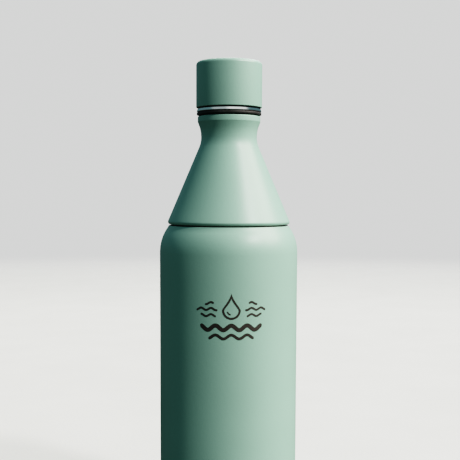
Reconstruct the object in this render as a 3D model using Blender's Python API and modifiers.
"""A vacuum bottle in three sections: a wide-mouth body, a screw-on conical neck and a screw cap.

Sizes are in millimetres and MM turns them into Blender's metres. The bottle stands on z = 0 with
its axis on +Z. Each section has its own empty on that axis, and its pieces are turned about it:
the body's heights count from the floor, the neck's from the body's rim and the cap's from its
own lower edge. Both threads are right-handed with two starts, so each section unscrews by a
positive turn about +Z and climbs one lead a turn.
"""

import math

import bmesh
import bpy

MM = 0.001
FACETS = 32  # sides of every turned piece on the main axis
SMALL_FACETS = 20
SHARP_ANGLE = 35.0  # degrees: sharper edges stay crisp, the rest are shaded smooth
GAP = 0.3  # between pieces that touch

# Body
BODY_RADIUS = 40.0
BODY_HEIGHT = 180.0  # floor to rim
SHELL_WALL = 0.8
SHOULDER_ROUND = 24.4  # radius of the shoulder's arc
SHOULDER_DROP = 15.4  # from the rim to where the straight side begins
RIM_ROUND = 0.7
RIM_LAND = 3.0  # from the edge of the rim's round in to the shell's welded edge
VESSEL_WALL = 0.6
VACUUM = 2.6
MOUTH_MARGIN = 3.0  # straight wall below the skirt's end
VESSEL_SHOULDER = 9.0
VESSEL_FLOOR = 9.5
VESSEL_CORNER = 8.0
COPPER_WALL = 0.3
COPPER_MARGIN = 2.0

# Base
BASE_WALL = 0.8
BASE_RISE = 8.0  # height of the weld between base and shell
BASE_CORNER = 4.0
BASE_LAND = 1.0  # height of the base's lowest steel above the floor
BASE_STEP = 1.2  # each of its two steps up towards the middle
BASE_SLOPE = 0.6  # how far a step leans
BASE_FLAT = 2.0  # width of the steel land outside the foot ring
FOOT_WIDTH = 10.8  # width of the foot ring's channel
FOOT_INSET = 0.5
COVER_WALL = 1.2
SEAL_HOLE = 1.5
SEAL_HEIGHT = 1.4
GETTER_PLACE = 12.0  # from the axis
GETTER_RADIUS = 5.4
GETTER_HEIGHT = 1.7
CLIP_WALL = 0.5
CLIP_HEIGHT = 1.9

# Neck
NECK_HEIGHT = 62.5  # body rim to the top of the cone's band
CONE_WALL = 0.8
CONE_OVERHANG = 0.25  # the cone's foot stands this far outside the body's rim
FOOT_ROUND = 1.5
FOOT_RISE = 2.0  # height of the centre of the cone's rounded foot
FOOT_TURN = 70.0  # degrees that the foot curls under
WAIST_FOAM = 1.85  # foam left between liner and cone at the waist
WAIST_FILLET = 14.0  # below the waist
NECK_FLARE = 21.0  # radius of the hollow above the waist
WAIST_DROP = 12.0  # from the band's top to the waist
BAND_INSET = 0.7  # the band stands this far inside the trim ring
BAND_HEIGHT = 3.1
BAND_ROUND = 0.6
BAND_CREASE = 0.7
FOAM_WALL = 4.2
LINER_WALL = 1.4
SKIRT_LENGTH = 11.0
SKIRT_WALL = 1.6
FLANGE_WALL = 1.3
GASKET_WALL = 0.8
GASKET_OVERLAP = 0.1
BORE_RADIUS = 11.4
SPOUT_WALL = 1.2
SPOUT_RISE = 12.2  # above the trim ring
SPOUT_DEPTH = 6.5  # below the band's top
SPOUT_LIP = 0.4
SOCKET_DEPTH = 8.5
SEAL_SECTION = 0.45  # radius of the O-ring's cord
SPOUT_FLANGE_WIDTH = 3.9
SPOUT_FLANGE_WALL = 0.8
RIM_GASKET_HEIGHT = 1.4  # its visible outside
RIM_GASKET_SKIN = 0.4  # its hanging lip, which hides the spout's flange
RIM_GASKET_INSET = 0.15  # inside the trim ring
RING_WALL = 1.95  # outside the spout's flange
RING_HEIGHT = 1.9
RING_ROUND = 0.8
RING_LINE = 0.7  # the dark lines under the rim gasket and over the trim ring

# Cap
CAP_OVERHANG = 0.2  # outside the trim ring
CAP_HEIGHT = 26.0
CAP_WALL = 0.8
CAP_ROUND = 2.5
CAP_LINER_WALL = 1.5
CAP_LINER_RISE = 0.4
CAP_CEILING_WALL = 1.8
CAP_GASKET_WALL = 1.5
CAP_GASKET_WIDTH = 3.9

# Threads: the lead, the ridge's half width, how far its middle stands off the wall, the
# difference between the two wall radii, and the plain height below and above the male ridges,
# which is counted from the skirt's end to the rim, and from the cap's edge to the spout's lip.
NECK_THREAD = {"lead": 8.0, "size": 0.65, "stand": 0.35, "play": 1.5, "below": 1.6, "above": 2.2}
CAP_THREAD = {"lead": 6.0, "size": 0.5, "stand": 0.3, "play": 1.2, "below": 2.6, "above": 2.3}
STARTS = 2
STEPS_A_TURN = 24

# What follows from them
SHELL_INSIDE = BODY_RADIUS - SHELL_WALL
RIM_RADIUS = (
    BODY_RADIUS
    - SHOULDER_ROUND
    + math.sqrt(SHOULDER_ROUND**2 - (SHOULDER_DROP - RIM_ROUND) ** 2)
)
SHELL_EDGE = RIM_RADIUS - RIM_LAND + RIM_ROUND / 2
MOUTH_RADIUS = SHELL_EDGE - GAP - VESSEL_WALL
MOUTH_DEPTH = SKIRT_LENGTH + MOUTH_MARGIN
VESSEL_RADIUS = SHELL_INSIDE - VACUUM
CHANNEL_OUTER = BODY_RADIUS - BASE_CORNER - BASE_FLAT - BASE_SLOPE
CHANNEL_INNER = CHANNEL_OUTER - FOOT_WIDTH
SKIRT_RADIUS = MOUTH_RADIUS - NECK_THREAD["play"]
SPOUT_RADIUS = BORE_RADIUS + SPOUT_WALL
CAP_BORE = SPOUT_RADIUS + CAP_THREAD["play"]
SPOUT_FLANGE_RADIUS = SPOUT_RADIUS + SPOUT_FLANGE_WIDTH
RING_RADIUS = SPOUT_FLANGE_RADIUS + GAP + RING_WALL
BAND_RADIUS = RING_RADIUS - BAND_INSET
CAP_RADIUS = RING_RADIUS + CAP_OVERHANG
WAIST_RADIUS = BORE_RADIUS + LINER_WALL + GAP + WAIST_FOAM + GAP + CONE_WALL
FOOT_MIDDLE = (RIM_RADIUS + CONE_OVERHANG - FOOT_ROUND, FOOT_RISE)
WAIST_HEIGHT = NECK_HEIGHT - WAIST_DROP
FILLET_MIDDLE = (WAIST_RADIUS + WAIST_FILLET, WAIST_HEIGHT)
GASKET_TOP = GAP + GASKET_WALL
FLANGE_TOP = GASKET_TOP + GAP + FLANGE_WALL
SPOUT_FLANGE_FOOT = NECK_HEIGHT + GAP
SPOUT_FLANGE_TOP = SPOUT_FLANGE_FOOT + SPOUT_FLANGE_WALL
RIM_GASKET_TOP = NECK_HEIGHT + RING_LINE + RIM_GASKET_HEIGHT
RING_FOOT = RIM_GASKET_TOP + GAP
RING_TOP = RING_FOOT + RING_HEIGHT
CAP_SEAT = RING_TOP + RING_LINE  # the cap's lower edge above the body's rim
SPOUT_IN_CAP = SPOUT_RISE - RING_LINE  # the spout's lip above the cap's lower edge
CAP_CEILING = SPOUT_IN_CAP + GAP + CAP_GASKET_WALL + GAP
CAP_LINER_TOP = CAP_CEILING + CAP_CEILING_WALL
SPOUT_END = NECK_HEIGHT - SPOUT_DEPTH
SOCKET_FLOOR = NECK_HEIGHT - SOCKET_DEPTH
SOCKET_TOP = NECK_HEIGHT - CONE_WALL - GAP
SOCKET_RADIUS = SPOUT_RADIUS + GAP


# ---------------------------------------------------------------- profiles


def arc(middle, radius, start, end, steps):
    """Points along an arc in the plane of (radius, height), with its angles in degrees."""
    angles = [math.radians(start + (end - start) * i / steps) for i in range(steps + 1)]
    return [(middle[0] + radius * math.cos(a), middle[1] + radius * math.sin(a)) for a in angles]


def inset(path, depth):
    """The path moved into the material, which lies on the right of its direction."""
    moved = []
    for i, (r, z) in enumerate(path):
        ways = []
        for a, b in ((i - 1, i), (i, i + 1)):
            if a >= 0 and b < len(path):
                run = (path[b][0] - path[a][0], path[b][1] - path[a][1])
                size = math.hypot(*run)
                ways.append((run[1] / size, -run[0] / size))
        side = (sum(w[0] for w in ways), sum(w[1] for w in ways))
        reach = depth / (side[0] * ways[0][0] + side[1] * ways[0][1])
        moved.append((r + side[0] * reach, z + side[1] * reach))
    return moved


def sheet(path, wall):
    """The closed outline of a wall whose outside follows the path, from top to bottom."""
    return path + inset(path, wall)[::-1]


def rectangle(inner, outer, low, high):
    return [(inner, high), (outer, high), (outer, low), (inner, low)]


def flank_angle():
    """The lean of the cone's straight flank, in degrees: it touches the fillet and the foot."""
    across = FILLET_MIDDLE[0] - FOOT_MIDDLE[0]
    up = FILLET_MIDDLE[1] - FOOT_MIDDLE[1]
    reach = math.acos((WAIST_FILLET + FOOT_ROUND) / math.hypot(across, up))
    return math.degrees(math.atan2(up, across) - reach)


def flank_radius(height, depth):
    """The radius at a height of the flank's line moved in by a depth."""
    lean = math.radians(flank_angle())
    reach = FOOT_ROUND - depth
    touch = (FOOT_MIDDLE[0] + reach * math.cos(lean), FOOT_MIDDLE[1] + reach * math.sin(lean))
    return touch[0] - (height - touch[1]) * math.tan(lean)


def flank_height(radius, depth):
    """The height at which that line has a given radius."""
    return (flank_radius(0.0, depth) - radius) / math.tan(math.radians(flank_angle()))


# ---------------------------------------------------------------- making objects


def collection(name):
    made = bpy.data.collections.new(name)
    bpy.context.scene.collection.children.link(made)
    return made


def material(name, colour, roughness, metallic):
    made = bpy.data.materials.new(name)
    made.use_nodes = True
    shader = made.node_tree.nodes["Principled BSDF"]
    shader.inputs["Base Color"].default_value = (*colour, 1.0)
    shader.inputs["Roughness"].default_value = roughness
    shader.inputs["Metallic"].default_value = metallic
    made.diffuse_color = (*colour, 1.0)
    return made


def axis_empty(name, height, parent=None):
    """An empty on the bottle's axis, at a height above its parent."""
    made = bpy.data.objects.new(name, None)
    made.location.z = height * MM
    made.parent = parent
    PARTS.objects.link(made)
    return made


def turned(name, outline, finish, section, facets=FACETS, place=0.0):
    """A piece turned from a closed outline, or from one that starts and ends on the axis."""
    mesh = bpy.data.meshes.new(name)
    shape = bmesh.new()
    corners = [shape.verts.new((r * MM, 0.0, z * MM)) for r, z in outline]
    for i, (r, _) in enumerate(outline):
        follower = (i + 1) % len(outline)
        if r > 0.0 or outline[follower][0] > 0.0:
            shape.edges.new((corners[i], corners[follower]))
    shape.to_mesh(mesh)
    shape.free()
    mesh.materials.append(finish)
    made = bpy.data.objects.new(name, mesh)
    made.parent = section
    made.location.x = place * MM
    PARTS.objects.link(made)
    screw = made.modifiers.new("turn", "SCREW")
    screw.steps = facets
    screw.render_steps = facets
    screw.use_merge_vertices = True
    screw.merge_threshold = 0.00001
    return made


def thread_ridges(name, thread, wall_radius, outward, foot, height):
    """The thread's ridges as one mesh: a tapering helix for each start, sunk in its wall."""
    climb = height - thread["below"] - thread["above"]
    turns = climb / thread["lead"]
    curve = bpy.data.curves.new(name, "CURVE")
    curve.dimensions = "3D"
    curve.bevel_depth = thread["size"] * MM
    curve.bevel_resolution = 1
    curve.use_fill_caps = True
    count = round(STEPS_A_TURN * turns)
    for start in range(STARTS):
        spline = curve.splines.new("POLY")
        spline.points.add(count)
        for i, point in enumerate(spline.points):
            along = i / count
            swell = min(1.0, 0.3 + 6.0 * min(along, 1.0 - along))
            off_wall = thread["stand"] * swell - thread["size"] * (1.0 - swell) / 2
            radius = wall_radius + outward * off_wall
            turn = math.tau * (start / STARTS + turns * along)
            level = foot + thread["below"] + climb * along
            place = (radius * math.cos(turn), radius * math.sin(turn), level)
            point.co = (*(MM * p for p in place), 1.0)
            point.radius = swell
    bent = bpy.data.objects.new(name + "_curve", curve)
    CUTTERS.objects.link(bent)
    bpy.context.view_layer.update()
    graph = bpy.context.evaluated_depsgraph_get()
    mesh = bpy.data.meshes.new_from_object(bent.evaluated_get(graph))
    mesh.name = name
    capped = bmesh.new()
    capped.from_mesh(mesh)
    bmesh.ops.remove_doubles(capped, verts=capped.verts, dist=1e-7)
    bmesh.ops.recalc_face_normals(capped, faces=capped.faces)
    capped.to_mesh(mesh)
    capped.free()
    made = bpy.data.objects.new(name, mesh)
    made.matrix_world = bent.matrix_world
    bpy.data.objects.remove(bent)
    made.hide_render = True
    made.display_type = "WIRE"
    CUTTERS.objects.link(made)
    return made


def add_male_thread(piece, thread, wall_radius, foot, height):
    add_thread(piece, thread, wall_radius, 1, foot, height)


def add_female_thread(piece, thread, wall_radius, foot, height):
    """Its ridges lie half a pitch below the male ones, which they carry."""
    drop = thread["lead"] / STARTS / 2
    add_thread(piece, thread, wall_radius, -1, foot - drop, height)


def add_thread(piece, thread, wall_radius, outward, foot, height):
    """Joins ridges to a turned piece, whose section they share, over a height from its foot."""
    ridges = thread_ridges(piece.name + "_thread", thread, wall_radius, outward, foot, height)
    ridges.parent = piece.parent
    joined = piece.modifiers.new("thread", "BOOLEAN")
    joined.operation = "UNION"
    joined.solver = "EXACT"
    joined.object = ridges


def settle(piece):
    """Applies a piece's modifiers and shades it smooth between its sharp edges."""
    bpy.context.view_layer.update()
    graph = bpy.context.evaluated_depsgraph_get()
    mesh = bpy.data.meshes.new_from_object(piece.evaluated_get(graph))
    mesh.name = piece.name
    piece.modifiers.clear()
    piece.data = mesh
    mesh.shade_smooth()
    mesh.set_sharp_from_angle(angle=math.radians(SHARP_ANGLE))


# ---------------------------------------------------------------- body


def shell_path():
    """The outside of the body from its welded edge over the shoulder to the base's weld."""
    rim = arc((RIM_RADIUS - RIM_ROUND, BODY_HEIGHT - RIM_ROUND), RIM_ROUND, 90, 45, 1)
    middle = (BODY_RADIUS - SHOULDER_ROUND, BODY_HEIGHT - SHOULDER_DROP)
    top = math.degrees(math.asin((SHOULDER_DROP - RIM_ROUND) / SHOULDER_ROUND))
    shoulder = arc(middle, SHOULDER_ROUND, top, 0, 5)
    return [(SHELL_EDGE, BODY_HEIGHT)] + rim + shoulder + [(BODY_RADIUS, BASE_RISE + GAP)]


def vessel_path():
    """The vacuum side of the inner vessel, from its rim to the middle of its floor."""
    neck = MOUTH_RADIUS + VESSEL_WALL
    low = BODY_HEIGHT - MOUTH_DEPTH
    corner = (VESSEL_RADIUS - VESSEL_CORNER, VESSEL_FLOOR + VESSEL_CORNER)
    return (
        [(neck, BODY_HEIGHT), (neck, low), (VESSEL_RADIUS, low - VESSEL_SHOULDER)]
        + arc(corner, VESSEL_CORNER, 0, -90, 4)
        + [(0.0, VESSEL_FLOOR)]
    )


def base_path():
    """The underside of the base, from its weld to the hole that the vacuum seal closes."""
    channel = BASE_LAND + BASE_STEP
    middle = channel + BASE_STEP
    corner = (BODY_RADIUS - BASE_CORNER, BASE_LAND + BASE_CORNER)
    return (
        [(BODY_RADIUS, BASE_RISE)]
        + arc(corner, BASE_CORNER, 0, -90, 3)
        + [(CHANNEL_OUTER + BASE_SLOPE, BASE_LAND), (CHANNEL_OUTER, channel)]
        + [(CHANNEL_INNER, channel), (CHANNEL_INNER - BASE_SLOPE, middle), (SEAL_HOLE, middle)]
    )


def make_body(section):
    turned("outer_shell", sheet(shell_path(), SHELL_WALL), POWDER_COAT, section)
    vessel = turned("inner_vessel", sheet(vessel_path(), VESSEL_WALL), STEEL, section)
    skirt_end = BODY_HEIGHT - SKIRT_LENGTH
    add_female_thread(vessel, NECK_THREAD, MOUTH_RADIUS, skirt_end, SKIRT_LENGTH)
    inside = VESSEL_RADIUS + GAP
    low = VESSEL_FLOOR + VESSEL_CORNER + COPPER_MARGIN
    high = BODY_HEIGHT - MOUTH_DEPTH - VESSEL_SHOULDER - COPPER_MARGIN
    wrap = rectangle(inside, inside + COPPER_WALL, low, high)
    turned("copper_wrap", wrap, COPPER, section)


def make_base(section):
    turned("outer_base", sheet(base_path(), BASE_WALL), STEEL, section)
    channel = BASE_LAND + BASE_STEP
    middle = channel + BASE_STEP
    inner = CHANNEL_INNER + FOOT_INSET
    outer = CHANNEL_OUTER - FOOT_INSET
    foot = rectangle(inner, outer, 0.0, channel - GAP)
    turned("foot_ring", foot, SILICONE, section)
    cover_edge = CHANNEL_INNER - BASE_SLOPE - FOOT_INSET
    cover_top = middle - GAP
    cover = [(0.0, cover_top), (cover_edge, cover_top)]
    cover += [(cover_edge, cover_top - COVER_WALL), (0.0, cover_top - COVER_WALL)]
    turned("base_cover", cover, STEEL, section)
    bead = SEAL_HOLE - GAP
    low = middle + GAP / 3
    high = low + SEAL_HEIGHT
    seal = [(0.0, high), (bead / 2, high), (bead, high - bead / 2), (bead, low), (0.0, low)]
    turned("vacuum_seal", seal, GLASS, section, SMALL_FACETS)
    floor = middle + BASE_WALL + GAP
    wall = GETTER_RADIUS + GAP
    cup = [(wall + CLIP_WALL, floor + CLIP_HEIGHT), (wall + CLIP_WALL, floor), (0.0, floor)]
    turned("getter_clip", sheet(cup, CLIP_WALL), STEEL, section, SMALL_FACETS, GETTER_PLACE)
    low = floor + CLIP_WALL + GAP
    high = low + GETTER_HEIGHT
    pellet = [(0.0, high), (GETTER_RADIUS, high), (GETTER_RADIUS, low), (0.0, low)]
    turned("getter", pellet, GETTER_METAL, section, SMALL_FACETS, GETTER_PLACE)


# ---------------------------------------------------------------- neck


def cone_path():
    """The outside of the cone, from the hole for the spout to the end of its curled foot."""
    lean = flank_angle()
    band_middle = (BAND_RADIUS - BAND_ROUND, NECK_HEIGHT - BAND_ROUND)
    crease = NECK_HEIGHT - BAND_HEIGHT - BAND_CREASE
    flare_middle = (WAIST_RADIUS + NECK_FLARE, WAIST_HEIGHT)
    flare = math.degrees(math.asin((crease - WAIST_HEIGHT) / NECK_FLARE))
    return (
        [(SOCKET_RADIUS + GAP / 3, NECK_HEIGHT)]
        + arc(band_middle, BAND_ROUND, 90, 0, 1)
        + [(BAND_RADIUS, NECK_HEIGHT - BAND_HEIGHT)]
        + arc(flare_middle, NECK_FLARE, 180 - flare, 180, 3)
        + arc(FILLET_MIDDLE, WAIST_FILLET, 180, 180 + lean, 3)[1:]
        + arc(FOOT_MIDDLE, FOOT_ROUND, lean, -FOOT_TURN, 3)
    )


def liner_outline():
    """The plastic funnel: spout socket, throat, cone, flange and threaded skirt."""
    to_liner = CONE_WALL + GAP + FOAM_WALL + GAP
    throat = BORE_RADIUS + LINER_WALL
    socket = SOCKET_RADIUS + LINER_WALL
    turn = math.radians(FOOT_TURN)
    flange = FOOT_MIDDLE[0] + (FOOT_ROUND - CONE_WALL) * math.cos(turn) - GAP
    flange_foot = FLANGE_TOP - FLANGE_WALL
    skirt_inside = SKIRT_RADIUS - SKIRT_WALL
    through = to_liner + LINER_WALL
    outside = [
        (socket, SOCKET_TOP),
        (socket, SOCKET_FLOOR - LINER_WALL),
        (throat, SOCKET_FLOOR - 2 * LINER_WALL),
        (throat, flank_height(throat, to_liner)),
        (flank_radius(FLANGE_TOP, to_liner), FLANGE_TOP),
        (flange, FLANGE_TOP),
        (flange, flange_foot),
        (SKIRT_RADIUS, flange_foot),
        (SKIRT_RADIUS, -SKIRT_LENGTH),
    ]
    inside = [
        (skirt_inside, -SKIRT_LENGTH),
        (skirt_inside, flank_height(skirt_inside, through)),
        (BORE_RADIUS, flank_height(BORE_RADIUS, through)),
        (BORE_RADIUS, SOCKET_FLOOR),
        (SOCKET_RADIUS, SOCKET_FLOOR),
        (SOCKET_RADIUS, SOCKET_TOP),
    ]
    return outside + inside


def foam_outline():
    """The foam collar that fills the space between cone and liner below the waist."""
    to_foam = CONE_WALL + GAP
    to_inside = to_foam + FOAM_WALL
    throat = BORE_RADIUS + LINER_WALL + GAP
    low = FLANGE_TOP + GAP
    outside = arc(FILLET_MIDDLE, WAIST_FILLET + to_foam, 180, 180 + flank_angle(), 3)
    return outside + [
        (flank_radius(low, to_foam), low),
        (flank_radius(low, to_inside), low),
        (throat, flank_height(throat, to_inside)),
        (throat, WAIST_HEIGHT),
    ]


def spout_outline():
    """The steel drinking spout, with the flange that the trim ring holds down."""
    top = RING_TOP + SPOUT_RISE
    return [
        (BORE_RADIUS + SPOUT_LIP, top),
        (SPOUT_RADIUS - SPOUT_LIP, top),
        (SPOUT_RADIUS, top - SPOUT_LIP),
        (SPOUT_RADIUS, SPOUT_FLANGE_TOP),
        (SPOUT_FLANGE_RADIUS, SPOUT_FLANGE_TOP),
        (SPOUT_FLANGE_RADIUS, SPOUT_FLANGE_FOOT),
        (SPOUT_RADIUS, SPOUT_FLANGE_FOOT),
        (SPOUT_RADIUS, SPOUT_END),
        (BORE_RADIUS, SPOUT_END),
        (BORE_RADIUS, top - SPOUT_LIP),
    ]


def rim_gasket_outline():
    """The silicone ring between spout flange and trim ring, with a lip round the flange."""
    outer = RING_RADIUS - RIM_GASKET_INSET
    inner = SPOUT_FLANGE_RADIUS + GAP
    seat = SPOUT_FLANGE_TOP + GAP
    foot = RIM_GASKET_TOP - RIM_GASKET_HEIGHT
    return [
        (CAP_BORE, RIM_GASKET_TOP),
        (outer, RIM_GASKET_TOP),
        (outer, foot),
        (inner + RIM_GASKET_SKIN, foot),
        (inner + RIM_GASKET_SKIN, SPOUT_FLANGE_FOOT),
        (inner, SPOUT_FLANGE_FOOT),
        (inner, seat),
        (CAP_BORE, seat),
    ]


def ring_outline():
    """The polished trim ring, with rounded outer edges."""
    outer = RING_RADIUS - RING_ROUND
    return (
        [(CAP_BORE, RING_FOOT), (CAP_BORE, RING_TOP)]
        + arc((outer, RING_TOP - RING_ROUND), RING_ROUND, 90, 0, 2)
        + arc((outer, RING_FOOT + RING_ROUND), RING_ROUND, 0, -90, 2)
    )


def make_neck(section):
    gasket_outer = FOOT_MIDDLE[0] + GASKET_OVERLAP - GAP
    gasket = rectangle(MOUTH_RADIUS + GASKET_OVERLAP, gasket_outer, GAP, GASKET_TOP)
    turned("neck_gasket", gasket, SILICONE, section)
    turned("cone_shell", sheet(cone_path(), CONE_WALL), POWDER_COAT, section)
    turned("neck_insulation", foam_outline(), FOAM, section)
    liner = turned("neck_liner", liner_outline(), LINER_PLASTIC, section)
    add_male_thread(liner, NECK_THREAD, SKIRT_RADIUS, -SKIRT_LENGTH, SKIRT_LENGTH)
    spout = turned("spout", spout_outline(), STEEL, section)
    add_male_thread(spout, CAP_THREAD, SPOUT_RADIUS, CAP_SEAT, SPOUT_IN_CAP)
    cord = ((BORE_RADIUS + SOCKET_RADIUS) / 2, (SOCKET_FLOOR + SPOUT_END) / 2)
    turned("spout_seal", arc(cord, SEAL_SECTION, 0, -300, 5), SILICONE, section)
    turned("rim_gasket", rim_gasket_outline(), SILICONE, section)
    turned("trim_ring", ring_outline(), POLISHED_STEEL, section)


# ---------------------------------------------------------------- cap


def cap_top_path(radius, height, rounding):
    """A flat top with a rounded edge, from the axis out to where the side begins."""
    return [(0.0, height)] + arc((radius - rounding, height - rounding), rounding, 90, 0, 4)


def make_cap(section):
    shell = cap_top_path(CAP_RADIUS, CAP_HEIGHT, CAP_ROUND) + [(CAP_RADIUS, 0.0)]
    turned("cap_shell", sheet(shell, CAP_WALL), POWDER_COAT, section)
    edge = CAP_RADIUS - CAP_WALL - GAP
    wall = CAP_BORE + CAP_LINER_WALL
    flange_top = CAP_LINER_RISE + CAP_LINER_WALL
    liner = [
        (0.0, CAP_LINER_TOP),
        (wall, CAP_LINER_TOP),
        (wall, flange_top),
        (edge, flange_top),
        (edge, CAP_LINER_RISE),
        (CAP_BORE, CAP_LINER_RISE),
        (CAP_BORE, CAP_CEILING),
        (0.0, CAP_CEILING),
    ]
    inside = turned("cap_liner", liner, LINER_PLASTIC, section)
    add_female_thread(inside, CAP_THREAD, CAP_BORE, 0.0, SPOUT_IN_CAP)
    foam_round = CAP_ROUND - CAP_WALL - GAP
    foam = cap_top_path(edge, CAP_HEIGHT - CAP_WALL - GAP, foam_round) + [
        (edge, flange_top + GAP),
        (wall + GAP, flange_top + GAP),
        (wall + GAP, CAP_LINER_TOP + GAP),
        (0.0, CAP_LINER_TOP + GAP),
    ]
    turned("cap_insulation", foam, FOAM, section)
    outer = CAP_BORE - GAP
    low = CAP_CEILING - GAP - CAP_GASKET_WALL
    gasket = rectangle(outer - CAP_GASKET_WIDTH, outer, low, low + CAP_GASKET_WALL)
    turned("cap_gasket", gasket, SILICONE, section)


# ---------------------------------------------------------------- the bottle

for old in list(bpy.data.objects):
    bpy.data.objects.remove(old)

PARTS = collection("canteen")
CUTTERS = collection("cutters")

POWDER_COAT = material("powder_coat", (0.31, 0.51, 0.41), 0.55, 0.0)
STEEL = material("brushed_steel", (0.62, 0.61, 0.60), 0.35, 1.0)
POLISHED_STEEL = material("polished_steel", (0.74, 0.72, 0.70), 0.12, 1.0)
COPPER = material("copper_foil", (0.80, 0.42, 0.28), 0.30, 1.0)
LINER_PLASTIC = material("liner_plastic", (0.055, 0.055, 0.06), 0.45, 0.0)
FOAM = material("foam", (0.80, 0.77, 0.66), 0.90, 0.0)
SILICONE = material("silicone", (0.03, 0.03, 0.03), 0.60, 0.0)
GLASS = material("seal_glass", (0.10, 0.16, 0.13), 0.20, 0.0)
GETTER_METAL = material("getter_metal", (0.35, 0.34, 0.33), 0.70, 1.0)

bottle_axis = axis_empty("bottle_axis", 0.0)
neck_axis = axis_empty("neck_axis", BODY_HEIGHT, bottle_axis)
cap_axis = axis_empty("cap_axis", CAP_SEAT, neck_axis)

make_body(bottle_axis)
make_base(bottle_axis)
make_neck(neck_axis)
make_cap(cap_axis)

for part in PARTS.objects:
    if part.type == "MESH":
        settle(part)
